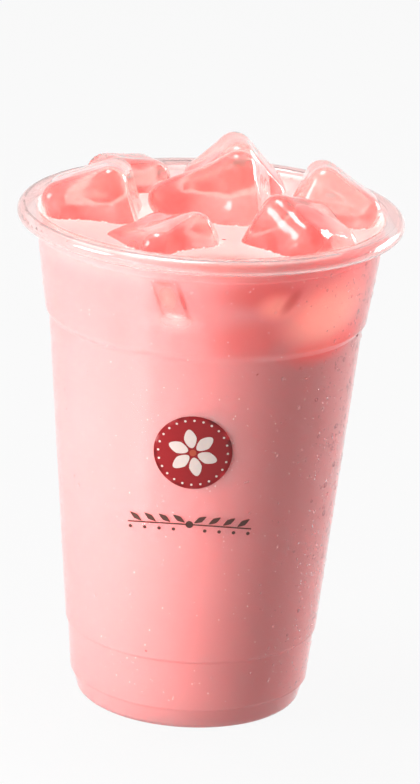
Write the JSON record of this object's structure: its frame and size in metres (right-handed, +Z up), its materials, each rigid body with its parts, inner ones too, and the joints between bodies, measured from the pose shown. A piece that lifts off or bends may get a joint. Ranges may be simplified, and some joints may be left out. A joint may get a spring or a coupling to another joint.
{
  "type": "iced pink milk tea in a clear takeaway cup",
  "caption": "Iced strawberry green milk tea, filled to the brim of a clear stepped takeaway cup with a rolled rim, with rounded ice blocks floating on top.",
  "frame": {"origin": "middle of the foot ring's underside, where the cup stands on a table", "axes": "+Z up along the cup's axis, -Y towards the side with the printed medallion, +X to the right of it"},
  "size_m": [0.095, 0.095, 0.141],
  "materials": {
    "clear_plastic": "clear glossy polypropylene, faintly milky at the rim",
    "milk_tea": "opaque milky pink liquid",
    "ice": "wet cloudy ice, coral pink from the tea"
  },
  "bodies": {
    "root": {"cup": "clear_plastic", "drink": "milk_tea", "ice_1": "ice", "ice_2": "ice", "ice_3": "ice", "ice_4": "ice", "ice_5": "ice", "ice_6": "ice", "ice_7": "ice"}
  },
  "joints": []
}
